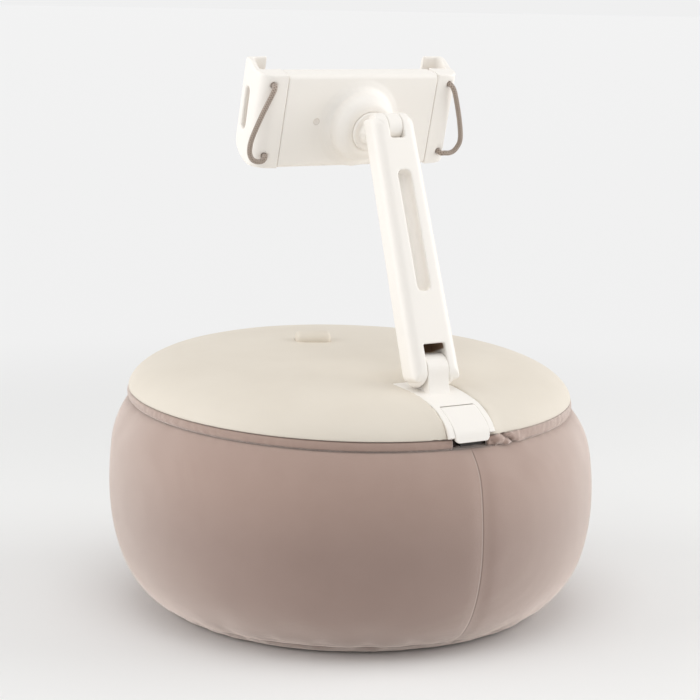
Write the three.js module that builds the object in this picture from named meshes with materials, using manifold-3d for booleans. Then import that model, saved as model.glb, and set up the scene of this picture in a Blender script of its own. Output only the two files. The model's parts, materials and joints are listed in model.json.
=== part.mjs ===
// Tablet cushion stand: a round bead cushion with a padded lid, and a plastic tablet holder on a
// folding arm that is clipped to the lid's edge. Millimetres, +Z up, origin on the floor under the
// cushion's centre. The user sits on the -Y side and the clip is at +Y.
import * as THREE from 'three';
import { mergeVertices } from 'three/addons/utils/BufferGeometryUtils.js';
import Module from 'manifold-3d';

const wasm = await Module();
wasm.setup();

// Clearances
const gap = 0.3; // between touching pieces
const runningGap = 0.2; // round a pin or bolt

// Bead cushion
const cushionRadius = 183.4; // at the widest ring
const cushionWaist = 88; // height of the widest ring
const cushionBaseRadius = 134; // flat underside
const cushionNeckRadius = 163; // where the cover turns in under the lid
const cushionLipRadius = 146; // inner edge of the turned-in cover
const basePanelRise = 7; // height of the seam round the base panel
const coverThickness = 1.6;

// Padded lid, level with its own frame and settled a little towards the clip
const lidHeight = 163; // of the lid's rim plane at its centre
const lidTilt = 2; // degrees
const lidRadius = 165;
const lidCrown = 28;
const lidFlatness = 5.5; // higher for a flatter top and a fuller edge
const lidEdgeRound = 0.6;
const lidCoverThickness = 1.4;
const bandHeight = 6.4;
const bandThickness = 3.2;
const boardThickness = 7.2;
const boardInset = 3.5; // board edge from the lid's rim
const pullTabPlace = [5.6, -48]; // from the lid's centre
const pullTabBase = 29.4;
const pullTabTop = 24;
const pullTabDepth = 12;
const pullTabHeight = 7.6;

// Clip on the lid's edge
const clipWidth = 38;
const clipThickness = 3;
const clipSink = 3.3; // how deep its back end presses into the lid
const clipRailEnd = 4.2; // rail ends above the rim plane
const latchWidth = 28;
const latchTongueEnd = -2.5; // below the rim plane
const latchBarrel = 4.6; // radius
const latchPinRadius = 1.25;
const latchSpringWire = 0.8;
const latchSpringTurns = 3;
const latchSpringLength = 8;
const hookWidth = 18;
const hookThickness = 1.6;
const hookDrop = 5.3; // hook's underside below the rim plane
const hookReach = 5.8; // inwards from the lid's rim
const bossRadius = 4;
const bossPlaces = [[-11, 99], [11, 99], [0, 127]];
const mountScrewRadius = 1.6;
const mountScrewHead = 3.4;

// Lower hinge and arm
const hingePlace = 110.1; // along the lid from its centre to the lower hinge
const hingeLift = 36.8; // lower hinge above the rim plane
const armLean = 20.3; // degrees from upright, top towards the user
const armLength = 178.4; // between hinges
const armWidthLow = 39.6;
const armDepthLow = 22.4;
const armWidthHigh = 34.8;
const armDepthHigh = 20;
const armCorner = 7;
const armFootDrop = 1.2; // foot's round end, longer than half the arm's depth
const lowSlotWidth = 17.8;
const lowSlotTop = 17; // window over the knuckle, above the lower hinge
const armWall = 3; // round the hollow foot
const armHollowEnd = 46; // above the lower hinge
const highSlotWidth = 12;
const highSlotFloor = 10.6; // below the upper hinge
const fluteWidth = 11;
const fluteDepth = 8;
const fluteStart = 55; // above the lower hinge
const fluteEnd = 144;
const knuckleRadius = 11.4;
const headKnuckleRadius = 9.8;
const boltRadius = 2.4;
const boltHeadRadius = 4.2;
const boltHeadThickness = 2.4;
const capThickness = 1.5;
const nutRadius = 4; // to its corners
const nutThickness = 3;
const washerThickness = 0.7;
const washerRadius = 7;

// Swivel head
const holderTilt = 15; // degrees, the screen faces the user and up
const headReach = 22.3; // from the swivel disc's face to the upper hinge
const headRise = 11.6; // upper hinge above the swivel axis
const discRadius = 14.3;
const discThickness = 3;
const swivelBossRadius = 5.6;
const swivelScrewRadius = 1.9;

// Tablet holder
const holderWidth = 126.6; // centre body, seam to seam
const holderHeight = 70.4;
const holderRise = 2.2; // body's mid-height above the swivel axis
const holderThickness = 15;
const holderWall = 2.6;
const frontThickness = 2.4;
const domeHeight = 17;
const domeRadius = 26;
const gateMarkPlace = 36; // small round dimple in the back
const jawSpan = 168.6; // over both jaws, closed
const jawDepth = 33;
const jawWall = 4.5;
const lipThickness = 3.6;
const lipReach = 17;
const jawBackCorner = 12;
const jawFrontCorner = 3.5;
const jawTopRise = 1.8;
const jawHeel = [26, 17]; // depth and height of the sweep under the lip
const jawTravel = 36;
const windowLength = 32;
const windowWidth = 5.5;
const windowRise = 4;
const windowSetback = 3.9; // behind the lip
const padThickness = 1;
const jawPadMargin = 10; // below the pad, and half of it above
const frontPadWidth = 26;
const frontPadHeight = 54;
const frontPadPlace = 40;
const holderScrewRise = 22;
const holderScrewRadius = 1.4;
const holderScrewHead = 3;
const rackModule = 1;
const pinionTeeth = 18;
const rackBarHeight = 6;
const rackThickness = 4;
const backlash = 0.3;
const fingerHeight = 4.6;
const fingerReach = 43;
const jawSpringRadius = 1.9;
const jawSpringWire = 0.7;
const jawSpringTurns = 8;

// Elastic cords, one through two holes in each jaw's back
const cordDiameter = 3.8;
const cordHoleDepth = 7;
const cordHolePlace = 75; // from the holder's middle
const cordHoleTop = 27.6; // above the holder's mid-height
const cordHoleBottom = -25.4;
// Route: outwards from the hole line, above mid-height, off the back face
const cordRoute = [
	[0, 27.6, -6.2], [0, 27.6, -2.2], [0.1, 27.5, 0.2], [0.7, 26.7, 2.2], [2.2, 24, 3.6], [4.4, 19, 4],
	[8.2, 9.5, 4], [11.6, 0, 4], [14.6, -10, 3.9], [15.4, -16.2, 3.8], [14.6, -21.4, 3.6], [11.8, -25.6, 3.5],
	[7.8, -27.4, 3.4], [3.9, -27.4, 3.2], [1.2, -26.4, 2.2], [0.1, -25.5, 0.2], [0, -25.4, -1.8], [0, -25.4, -6.2],
];

// Finishes from the photograph
const whitePlastic = { color: 0xf8f4ee, roughness: 0.42, metalness: 0 };
const mauveFabric = { color: 0xb09d94, roughness: 0.92, metalness: 0 };
const creamLeather = { color: 0xe4dccf, roughness: 0.62, metalness: 0 };
const beads = { color: 0xf2f2f0, roughness: 0.9, metalness: 0 };
const boardWood = { color: 0xc9b08a, roughness: 0.8, metalness: 0 };
const foam = { color: 0xeee9d8, roughness: 0.95, metalness: 0 };
const steel = { color: 0xb9bcc0, roughness: 0.35, metalness: 1 };
const blackSteel = { color: 0x2a2625, roughness: 0.5, metalness: 0.6 };
const nylon = { color: 0xe8e6e0, roughness: 0.5, metalness: 0 };
const softRubber = { color: 0xe6d8cc, roughness: 0.75, metalness: 0 };
const taupeElastic = { color: 0xa89688, roughness: 0.9, metalness: 0 };

// Closed mesh with shared vertices, no collapsed triangles and outward faces
function closed(geometry) {
	const bare = new THREE.BufferGeometry();
	bare.setAttribute('position', geometry.getAttribute('position'));
	bare.setIndex(geometry.getIndex());
	const merged = mergeVertices(bare, 1e-4);
	const place = merged.getAttribute('position');
	const index = merged.getIndex();
	const kept = [];
	const corner = [new THREE.Vector3(), new THREE.Vector3(), new THREE.Vector3()];
	let volume = 0;
	for (let i = 0; i < index.count; i += 3) {
		const face = [index.getX(i), index.getX(i + 1), index.getX(i + 2)];
		if (new Set(face).size < 3) continue;
		kept.push(...face);
		face.forEach((vertex, n) => corner[n].fromBufferAttribute(place, vertex));
		volume += corner[0].dot(corner[1].clone().cross(corner[2])) / 6;
	}
	merged.setIndex(volume < 0 ? kept.reverse() : kept);
	return merged;
}

function solid(geometry) {
	const mesh = closed(geometry);
	const vertProperties = Float32Array.from(mesh.getAttribute('position').array);
	const triVerts = Uint32Array.from(mesh.getIndex().array);
	return new wasm.Manifold(new wasm.Mesh({ numProp: 3, vertProperties, triVerts }));
}

function geometryOf(body) {
	const mesh = body.getMesh();
	const geometry = new THREE.BufferGeometry();
	geometry.setAttribute('position', new THREE.BufferAttribute(Float32Array.from(mesh.vertProperties), 3));
	geometry.setIndex(Array.from(mesh.triVerts));
	return geometry;
}

const cut = (geometry, ...tools) => geometryOf(tools.reduce((body, tool) => body.subtract(solid(tool)), solid(geometry)));
const join = (geometry, ...tools) => geometryOf(tools.reduce((body, tool) => body.add(solid(tool)), solid(geometry)));
const common = (geometry, ...tools) => geometryOf(tools.reduce((body, tool) => body.intersect(solid(tool)), solid(geometry)));

const axisX = new THREE.Vector3(1, 0, 0);
const axisY = new THREE.Vector3(0, 1, 0);
const axisZ = new THREE.Vector3(0, 0, 1);
const vector = (x, y) => new THREE.Vector2(x, y);
const shapeOf = (points) => new THREE.Shape(points.map(([x, y]) => vector(x, y)));

// Prisms of a shape: (y, z) along X, (x, z) along Y and (x, y) along Z
function prismX(shape, from, to, curveSegments = 6) {
	const geometry = new THREE.ExtrudeGeometry(shape, { depth: to - from, bevelEnabled: false, curveSegments });
	geometry.applyMatrix4(new THREE.Matrix4().makeBasis(axisY, axisZ, axisX));
	return geometry.translate(from, 0, 0);
}

function prismY(shape, from, to, curveSegments = 6) {
	const geometry = new THREE.ExtrudeGeometry(shape, { depth: to - from, bevelEnabled: false, curveSegments });
	geometry.applyMatrix4(new THREE.Matrix4().makeBasis(axisX, axisZ, axisY.clone().negate()));
	return geometry.translate(0, to, 0);
}

function prismZ(shape, from, to, curveSegments = 6) {
	const geometry = new THREE.ExtrudeGeometry(shape, { depth: to - from, bevelEnabled: false, curveSegments });
	return geometry.translate(0, 0, from);
}

function box(x, y, z) {
	const geometry = new THREE.BoxGeometry(x[1] - x[0], y[1] - y[0], z[1] - z[0]);
	return geometry.translate((x[0] + x[1]) / 2, (y[0] + y[1]) / 2, (z[0] + z[1]) / 2);
}

// Bodies of revolution: profile of [radius, height] about Z, or along another axis
const latheZ = (profile, sides) =>
	new THREE.LatheGeometry(profile.map(([r, z]) => vector(r, z)), sides).rotateX(Math.PI / 2);
const latheX = (profile, sides) => latheZ(profile, sides).rotateY(Math.PI / 2);
const latheY = (profile, sides) => new THREE.LatheGeometry(profile.map(([r, y]) => vector(r, y)), sides);
const rodProfile = (radius, from, to) => [[0, from], [radius, from], [radius, to], [0, to]];
const ringProfile = (inner, outer, from, to) =>
	[[inner, from], [outer, from], [outer, to], [inner, to], [inner, from]];
const rodX = (radius, from, to, sides = 20) => latheX(rodProfile(radius, from, to), sides);
const rodY = (radius, from, to, sides = 20) => latheY(rodProfile(radius, from, to), sides);
const rodZ = (radius, from, to, sides = 20) => latheZ(rodProfile(radius, from, to), sides);

function roundedRectangle(x, y, corner) {
	const shape = new THREE.Shape();
	shape.moveTo(x[0] + corner, y[0]);
	shape.absarc(x[1] - corner, y[0] + corner, corner, -Math.PI / 2, 0);
	shape.absarc(x[1] - corner, y[1] - corner, corner, 0, Math.PI / 2);
	shape.absarc(x[0] + corner, y[1] - corner, corner, Math.PI / 2, Math.PI);
	shape.absarc(x[0] + corner, y[0] + corner, corner, Math.PI, Math.PI * 1.5);
	return shape;
}

// Loft between two outlines of equal point count at two heights
function loft(low, lowZ, high, highZ) {
	const count = low.length;
	const places = [];
	low.forEach((p) => places.push(p.x, p.y, lowZ));
	high.forEach((p) => places.push(p.x, p.y, highZ));
	const faces = [];
	for (let i = 0; i < count; i++) {
		const next = (i + 1) % count;
		faces.push(i, next, count + next, i, count + next, count + i);
		if (i > 0 && i < count - 1) faces.push(0, i + 1, i, count, count + i, count + i + 1);
	}
	const geometry = new THREE.BufferGeometry();
	geometry.setAttribute('position', new THREE.Float32BufferAttribute(places, 3));
	geometry.setIndex(faces);
	return geometry;
}

function tube(curve, radius, sides, steps) {
	const section = [];
	for (let i = 0; i < sides; i++) {
		const turn = (i / sides) * Math.PI * 2;
		section.push([radius * Math.cos(turn), radius * Math.sin(turn)]);
	}
	return new THREE.ExtrudeGeometry(shapeOf(section), { steps, extrudePath: curve, bevelEnabled: false });
}

// Coil about X whose ends run straight for one wire diameter
class CoilCurve extends THREE.Curve {
	constructor(radius, from, to, turns) {
		super();
		Object.assign(this, { radius, from, to, turns });
	}
	getPoint(t, target = new THREE.Vector3()) {
		const turn = t * this.turns * Math.PI * 2;
		const x = this.from + (this.to - this.from) * t;
		return target.set(x, this.radius * Math.cos(turn), this.radius * Math.sin(turn));
	}
}

const coil = (radius, wire, from, to, turns) =>
	tube(new CoilCurve(radius, from + wire, to - wire, turns), wire / 2, 4, turns * 6);

const model = new THREE.Group();

function part(parent, name, geometry, finish) {
	const mesh = new THREE.Mesh(closed(geometry), new THREE.MeshStandardMaterial(finish));
	mesh.name = name;
	parent.add(mesh);
	return mesh;
}

// Bead cushion: quarter ellipses below and above the widest ring
const bandBottom = -bandHeight - gap; // in the lid's frame
const cushionHeight = lidHeight + bandBottom - gap;
const settleSlope = Math.tan(THREE.MathUtils.degToRad(lidTilt));

function cushionProfile(inset, from, to, steps) {
	const low = [cushionRadius - cushionBaseRadius - inset, cushionWaist - inset];
	const high = [cushionRadius - cushionNeckRadius - inset, cushionHeight - cushionWaist - inset];
	const points = [];
	for (let i = 0; i <= steps; i++) {
		const turn = from + ((to - from) * i) / steps;
		if (turn <= 1) {
			const angle = (turn * Math.PI) / 2;
			points.push([cushionBaseRadius + low[0] * Math.sin(angle), cushionWaist - low[1] * Math.cos(angle)]);
		} else {
			const angle = ((turn - 1) * Math.PI) / 2;
			points.push([cushionNeckRadius + high[0] * Math.cos(angle), cushionWaist + high[1] * Math.sin(angle)]);
		}
	}
	return points;
}

// The cushion's top follows the lid's slope, and its base stays flat
function settle(geometry) {
	const place = geometry.getAttribute('position');
	for (let i = 0; i < place.count; i++) {
		const share = (place.getZ(i) / cushionHeight) ** 2;
		place.setZ(i, place.getZ(i) - place.getY(i) * settleSlope * share);
	}
	return geometry;
}

const seamTurn = (2 / Math.PI) * Math.acos(1 - basePanelRise / cushionWaist);
const seamGapTurn = (2 * gap) / cushionRadius;
const cushionSides = 36;

function buildCushion() {
	const outerSide = cushionProfile(0, seamTurn + seamGapTurn, 2, 11);
	const innerSide = cushionProfile(coverThickness, seamTurn + seamGapTurn, 2, 6).reverse();
	const lip = [[cushionLipRadius, cushionHeight], [cushionLipRadius, cushionHeight - coverThickness]];
	const side = [...outerSide, ...lip, ...innerSide, outerSide[0]];
	part(model, 'cushion_cover', settle(latheZ(side, cushionSides)), mauveFabric);

	const outerBase = cushionProfile(0, 0, seamTurn, 3);
	const innerBase = cushionProfile(coverThickness, 0, seamTurn, 2).reverse();
	const base = [[0, 0], ...outerBase, ...innerBase, [0, coverThickness]];
	part(model, 'base_panel', settle(latheZ(base, cushionSides)), mauveFabric);

	const inset = coverThickness + gap;
	const fill = [...cushionProfile(inset, 0, seamTurn, 2), ...cushionProfile(inset, seamTurn + seamGapTurn, 2, 6)];
	const filling = [[0, inset], ...fill, [0, cushionHeight - inset]];
	part(model, 'bead_filling', settle(latheZ(filling, cushionSides)), beads);
}

// Everything on the lid is placed in the lid's own frame: rim plane at zero
const lid = new THREE.Group();
lid.position.z = lidHeight;
lid.rotation.x = -THREE.MathUtils.degToRad(lidTilt);
model.add(lid);

const dome = (radius, rim, crown) => crown * (1 - Math.min(radius / rim, 1) ** lidFlatness) ** lidEdgeRound;
const smoothStep = (from, to, value) => THREE.MathUtils.smoothstep(value, from, to);

// Outer line of the clip in (y, z): sunk at the back, over the rim and down at the front
const clipBack = hingePlace - 19.5;
const clipFront = lidRadius + clipThickness + gap;
const overLid = (y, offset) => vector(y, dome(y, lidRadius, lidCrown) + offset);
const clipLine = new THREE.SplineCurve([
	overLid(clipBack, -clipSink),
	overLid(hingePlace, -clipSink * 0.76),
	overLid(lidRadius * 0.765, -clipSink * 0.56),
	overLid(lidRadius * 0.84, -clipSink * 0.24),
	overLid(lidRadius * 0.895, clipThickness * 0.1),
	overLid(lidRadius * 0.95, clipThickness * 0.35),
	vector(clipFront - 5.6, clipRailEnd + 4.6),
	vector(clipFront - 1.7, clipRailEnd),
	vector(clipFront, latchTongueEnd),
]);

// Parameter of the clip's line at a distance along Y
function clipAt(y) {
	let low = 0;
	let high = 1;
	for (let i = 0; i < 40; i++) {
		const middle = (low + high) / 2;
		if (clipLine.getPoint(middle).y > clipRailEnd && clipLine.getPoint(middle).x < y) low = middle;
		else high = middle;
	}
	return low;
}

// Points on the clip's line, moved inwards by a depth
function clipPoints(depth, from, to, steps) {
	const points = [];
	for (let i = 0; i <= steps; i++) {
		const t = from + ((to - from) * i) / steps;
		const point = clipLine.getPoint(t);
		const tangent = clipLine.getTangent(t);
		points.push([point.x + tangent.y * depth, point.y - tangent.x * depth]);
	}
	return points;
}

const railEnd = clipAt(clipFront);
const latchLine = clipAt(lidRadius * 0.895);
const [[pinY, pinZ]] = clipPoints(latchBarrel, latchLine, latchLine, 1);
const latchHalf = latchWidth / 2;
const latchSide = latchHalf + gap;
const clipHalf = clipWidth / 2;

// Space that the clip takes from the padding
function clipRecess() {
	const floor = clipPoints(clipThickness + gap, 0, railEnd, 14);
	const high = lidCrown + 40;
	const outline = [[clipBack - gap, high], [clipBack - gap, floor[0][1]], ...floor.slice(1)];
	outline.push([clipFront + 20, floor.at(-1)[1]], [clipFront + 20, high]);
	return prismX(shapeOf(outline), -clipHalf - gap, clipHalf + gap);
}

const atPin = (geometry) => geometry.translate(0, pinY, pinZ);
const barrelRecess = () => atPin(rodX(latchBarrel + 2 * gap, -clipHalf - gap, clipHalf + gap, 24));
const tongueRecess = () =>
	box([-latchHalf - 1.8, latchHalf + 1.8], [lidRadius - 12, lidRadius + 12], [bandBottom - 2, -0.5 * gap]);

// Clearance in the cover's edge for the hook as it swings up and out
const hookFront = clipFront - clipThickness * 0.8 - 1.8 * gap;
const hookBack = hookFront - hookThickness;
const hookNotch = () =>
	box([-hookWidth / 2 - 2 * gap, hookWidth / 2 + 2 * gap], [hookBack - 2 * gap, lidRadius + 9], [-9, hookThickness + 2 * gap]);

function clipDip(x, y) {
	const besideX = Math.max(Math.abs(x) - clipHalf, 0);
	const besideY = Math.max(clipBack - y, 0);
	const nearness = 1 - smoothStep(0, 26, Math.hypot(besideX, besideY));
	return clipSink * nearness * (1 - smoothStep(clipBack, lidRadius * 0.88, y));
}

function dipped(geometry) {
	const place = geometry.getAttribute('position');
	for (let i = 0; i < place.count; i++) {
		place.setZ(i, place.getZ(i) - clipDip(place.getX(i), place.getY(i)));
	}
	return geometry;
}

const lidSides = 50;
const domeShare = [0, 0.34, 0.58, 0.72, 0.82, 0.89, 0.94, 0.975, 0.994, 1];
const domeProfile = (rim, crown) => domeShare.map((share) => [rim * share, dome(rim * share, rim, crown)]);
const boardRadius = lidRadius - boardInset;
const boardBottom = bandBottom;
const boardTop = boardBottom + boardThickness;
const hookTip = lidRadius - hookReach;
const hookTop = -hookDrop + hookThickness;

// Pocket in the board's edge, sloped to clear the hook as it swings out
function hookPocket() {
	const swing = Math.hypot(hookTip - pinY, hookTop - pinZ);
	const mouth = boardRadius + 1;
	const mouthTop = pinZ - Math.sqrt(swing ** 2 - (mouth - pinY) ** 2) + 2 * gap;
	const back = hookTip - 3 * gap;
	const outline = [[back, boardBottom - 1], [mouth, boardBottom - 1], [mouth, mouthTop], [back, hookTop + 2 * gap]];
	return prismX(shapeOf(outline), -hookWidth / 2 - 2 * gap, hookWidth / 2 + 2 * gap);
}

function buildLid() {
	const screwHoles = bossPlaces.flatMap(([x, y]) => [
		rodZ(mountScrewRadius + runningGap, boardBottom - 1, boardTop + 1, 12).translate(x, y, 0),
		rodZ(mountScrewHead + runningGap, boardBottom - 1, boardBottom + 2.6, 16).translate(x, y, 0),
	]);
	const board = latheZ(rodProfile(boardRadius, boardBottom, boardTop), lidSides);
	part(lid, 'lid_board', cut(board, hookPocket(), ...screwHoles), boardWood);

	const bandInner = lidRadius - bandThickness + gap;
	const band = latheZ([
		[bandInner, bandBottom], [lidRadius - 0.8, bandBottom], [lidRadius + gap, bandBottom + bandHeight * 0.3],
		[lidRadius + gap, bandBottom + bandHeight * 0.75], [lidRadius - 0.6, -gap], [bandInner, -gap],
		[bandInner, bandBottom],
	], lidSides);
	part(lid, 'lid_band', cut(band, tongueRecess()), mauveFabric);

	const foamInset = lidCoverThickness + gap;
	const foamRim = lidRadius - foamInset;
	const foamFloor = boardTop + gap;
	const foamProfile = domeProfile(foamRim, lidCrown - foamInset).filter(([, z]) => z > foamFloor).reverse();
	const foamEdge = foamProfile[0][0];
	const pad = dipped(latheZ([[0, foamFloor], [foamEdge, foamFloor], ...foamProfile], lidSides));
	const bossHoles = bossPlaces.map(([x, y]) => rodZ(bossRadius + 2 * gap, -1, lidCrown, 14).translate(x, y, 0));
	const padFloor = box([-400, 400], [-400, 400], [foamFloor, lidCrown * 2]);
	part(lid, 'lid_foam', cut(common(pad, padFloor), clipRecess(), barrelRecess(), ...bossHoles), foam);

	const outer = domeProfile(lidRadius, lidCrown);
	const inner = domeProfile(lidRadius - lidCoverThickness, lidCrown - lidCoverThickness).reverse();
	const cover = dipped(latheZ([...outer, ...inner], lidSides));
	part(lid, 'lid_cover', cut(cover, clipRecess(), barrelRecess(), hookNotch()), creamLeather);
}

// Padded strap whose ends are tucked into slits of the cover
function buildPullTab() {
	const low = dome(Math.hypot(...pullTabPlace), lidRadius, lidCrown) + gap;
	const high = low + pullTabHeight;
	const [depth, base, top] = [pullTabDepth / 2, pullTabBase / 2, pullTabTop / 2];
	const side = new THREE.Shape();
	side.moveTo(-depth + 1, low);
	side.lineTo(depth - 1, low);
	side.quadraticCurveTo(depth + 0.8, low + pullTabHeight * 0.45, depth - 2.4, high - 0.5);
	side.quadraticCurveTo(0, high + 0.5, 2.4 - depth, high - 0.5);
	side.quadraticCurveTo(-depth - 0.8, low + pullTabHeight * 0.45, 1 - depth, low);
	const front = new THREE.Shape();
	front.moveTo(-base, low - 1);
	front.lineTo(base, low - 1);
	front.quadraticCurveTo(top + 1, low + 1.5, top + 0.4, high - 2);
	front.quadraticCurveTo(top, high + 1, top - 4, high + 1);
	front.lineTo(4 - top, high + 1);
	front.quadraticCurveTo(-top, high + 1, -top - 0.4, high - 2);
	front.quadraticCurveTo(-top - 1, low + 1.5, -base, low - 1);
	const strap = common(prismX(side, -40, 40, 5), prismY(front, -40, 40, 5));
	part(lid, 'pull_tab', strap.translate(pullTabPlace[0], pullTabPlace[1], 0), creamLeather);
}

// Sinks in a knuckle's sides for the washers
function washerSinks(slotWidth) {
	const [floor, face] = [slotWidth / 2 - washerThickness - 1.7 * gap, slotWidth / 2];
	return [[-face, -floor], [floor, face]].map(([from, to]) => rodX(washerRadius + gap, from, to, 14));
}

function knuckle() {
	const base = clipPoints(clipThickness / 2, clipAt(hingePlace - 15), clipAt(hingePlace + 17), 6);
	const outline = new THREE.Shape();
	outline.moveTo(...base[0]);
	base.slice(1).forEach(([y, z]) => outline.lineTo(y, z));
	outline.quadraticCurveTo(hingePlace + knuckleRadius, base.at(-1)[1] + 3.5, hingePlace + knuckleRadius, hingeLift);
	outline.absarc(hingePlace, hingeLift, knuckleRadius, 0, Math.PI);
	outline.quadraticCurveTo(hingePlace - knuckleRadius, base[0][1] + 3, ...base[0]);
	const half = lowSlotWidth / 2 - gap;
	return prismX(outline, -half, half, 8);
}

function buildClip() {
	const outer = clipPoints(0, 0, railEnd, 18);
	const inner = clipPoints(clipThickness, 0, railEnd, 18).reverse();
	const plate = prismX(shapeOf([...outer, ...inner]), -clipHalf, clipHalf);
	const lugs = [-1, 1].map((side) => {
		const ends = [side * latchSide, side * (clipHalf - 0.6)].sort((a, b) => a - b);
		return atPin(rodX(latchBarrel - gap, ends[0], ends[1], 20));
	});
	const bosses = bossPlaces.map(([x, y]) => {
		const top = clipPoints(clipThickness / 2, clipAt(y), clipAt(y), 1)[0][1];
		return rodZ(bossRadius, boardTop + gap, top, 14).translate(x, y, 0);
	});
	const pilots = bossPlaces.map(([x, y]) =>
		rodZ(mountScrewRadius + runningGap, boardTop - 1, boardTop + 14, 10).translate(x, y, 0));
	const opening = box([-latchSide, latchSide], [pinY, clipFront + 9], [latchTongueEnd - 9, lidCrown + 9]);
	const openingEnd = atPin(rodX(latchBarrel + gap, -latchSide, latchSide, 24));
	const pinHole = atPin(rodX(latchPinRadius + runningGap, 1.4 - clipHalf, clipHalf - 1.4, 14));
	const hingeHole = rodX(boltRadius + runningGap, -20, 20, 16).translate(0, hingePlace, hingeLift);
	const sinks = washerSinks(lowSlotWidth).map((sink) => sink.translate(0, hingePlace, hingeLift));
	const raw = join(plate, knuckle(), ...lugs, ...bosses);
	part(lid, 'mount_plate', cut(raw, opening, openingEnd, pinHole, hingeHole, ...sinks, ...pilots), whitePlastic);

	bossPlaces.forEach(([x, y], i) => {
		const headLow = boardBottom + gap;
		const profile = [[0, headLow], [mountScrewHead, headLow], [mountScrewHead, headLow + 2],
			[mountScrewRadius, headLow + 2], [mountScrewRadius, boardTop + 13], [0, boardTop + 13]];
		part(lid, `mount_screw_${i + 1}`, latheZ(profile, 10).translate(x, y, 0), steel);
	});
}

// Flap that opens outwards about its pin and frees the hook from the board's edge
function buildLatch() {
	const outer = clipPoints(0, latchLine, 1, 14);
	const inner = clipPoints(clipThickness * 0.8, latchLine, 1, 14).reverse();
	const front = roundedRectangle([-latchHalf, latchHalf], [latchTongueEnd - 0.1, 2 * lidCrown], 3.5);
	const panel = common(prismX(shapeOf([...outer, ...inner]), -latchHalf, latchHalf), prismY(front, 0, 2 * lidRadius, 3));
	const barrel = atPin(rodX(latchBarrel, -latchHalf, latchHalf, 24));
	const pinHole = atPin(rodX(latchPinRadius + runningGap, -20, 20, 14));
	const springOuter = latchPinRadius + runningGap + 1.6 * latchSpringWire;
	const springHalf = latchSpringLength / 2;
	const springRoom = atPin(box([-springHalf - 1, springHalf + 1], [-9, springOuter + 2 * gap], [-9, springOuter + gap]));
	part(lid, 'release_latch', cut(join(panel, barrel), pinHole, springRoom), whitePlastic);

	part(lid, 'latch_pin', atPin(rodX(latchPinRadius, 1.7 - clipHalf, clipHalf - 1.7, 14)), steel);
	const springRadius = latchPinRadius + runningGap + 0.8 * latchSpringWire;
	const spring = coil(springRadius, latchSpringWire, -springHalf, springHalf, latchSpringTurns);
	part(lid, 'latch_spring', atPin(spring), steel);

	const hook = [[hookTip, -hookDrop], [hookFront, -hookDrop], [hookFront, -2 * gap],
		[hookBack, -2 * gap], [hookBack, hookTop], [hookTip, hookTop]];
	part(lid, 'latch_hook', prismX(shapeOf(hook), -hookWidth / 2, hookWidth / 2), blackSteel);
}

// Arm frame: origin on the lower hinge, +Z along the arm, +Y on its outer face
const arm = new THREE.Group();
arm.position.set(0, hingePlace, hingeLift);
arm.rotation.x = THREE.MathUtils.degToRad(armLean + lidTilt);
lid.add(arm);

const lowEnd = armDepthLow / 2;
const highEnd = armDepthHigh / 2;
const footEnd = lowEnd + armFootDrop;
const armAt = (low, high, z) => low + ((high - low) * (z + lowEnd)) / (armLength + lowEnd + highEnd);

function armBlank() {
	const section = (width, depth) =>
		roundedRectangle([-width / 2, width / 2], [-depth / 2, depth / 2], armCorner).getPoints(4);
	const body = loft(
		section(armWidthLow, armDepthLow), -footEnd - 1, section(armWidthHigh, armDepthHigh), armLength + highEnd + 1);
	const sideView = new THREE.Shape();
	sideView.absellipse(0, 0, lowEnd, footEnd, Math.PI, Math.PI * 2);
	sideView.absarc(0, armLength, highEnd + 0.1, 0, Math.PI);
	const frontView = new THREE.Shape();
	const [low, high] = [armWidthLow / 2 + 0.1, armWidthHigh / 2 + 0.1];
	const [lowRound, highRound] = [9, 8];
	frontView.absarc(low - lowRound, lowRound - footEnd, lowRound, -Math.PI / 2, 0);
	frontView.absarc(high - highRound, armLength + highEnd - highRound + 0.1, highRound, 0, Math.PI / 2);
	frontView.absarc(highRound - high, armLength + highEnd - highRound + 0.1, highRound, Math.PI / 2, Math.PI);
	frontView.absarc(lowRound - low, lowRound - footEnd, lowRound, Math.PI, Math.PI * 1.5);
	return common(body, prismX(sideView, -40, 40, 11), prismY(frontView, -40, 40, 5));
}

// Fork slot at the foot, its inner corners rounded off, with a window into the hollow above it
function lowSlot() {
	const half = lowSlotWidth / 2;
	const roof = knuckleRadius + 3 * gap;
	const inside = lowEnd - armWall;
	const window = box([-half, half], [-inside, 40], [roof - 1, lowSlotTop]);
	const hollow = box([-half, half], [-inside, inside], [roof - 1, armHollowEnd]);
	const slot = new THREE.Shape();
	slot.moveTo(half, roof);
	slot.lineTo(-half, roof);
	slot.lineTo(-half, -4);
	slot.quadraticCurveTo(-half, -10, -half - 5, -footEnd - 2);
	slot.lineTo(half + 5, -footEnd - 2);
	slot.quadraticCurveTo(half, -10, half, -4);
	return join(prismY(slot, -40, 40, 5), window, hollow);
}

function highSlot() {
	const half = highSlotWidth / 2;
	const floor = armLength - highSlotFloor;
	const slot = box([-half, half], [-40, 40], [floor, armLength + 40]);
	const relief = [[0, floor], [-highEnd - 6, floor - 12], [-highEnd - 6, floor + 1], [0, floor + 1]];
	return join(slot, prismX(shapeOf(relief), -half, half));
}

// Long recess in the outer face, with a round floor and rounded ends
function flute() {
	const half = fluteWidth / 2;
	const face = armAt(armDepthLow, armDepthHigh, (fluteStart + fluteEnd) / 2) / 2;
	const section = new THREE.Shape();
	section.moveTo(half, face + 5);
	section.lineTo(-half, face + 5);
	section.lineTo(-half, face - fluteDepth + half);
	section.absarc(0, face - fluteDepth + half, half, Math.PI, Math.PI * 2);
	const run = prismZ(section, fluteStart, fluteEnd, 6);
	return common(run, prismY(roundedRectangle([-half - 0.1, half + 0.1], [fluteStart, fluteEnd], 4.5), -40, 40, 4));
}

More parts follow.
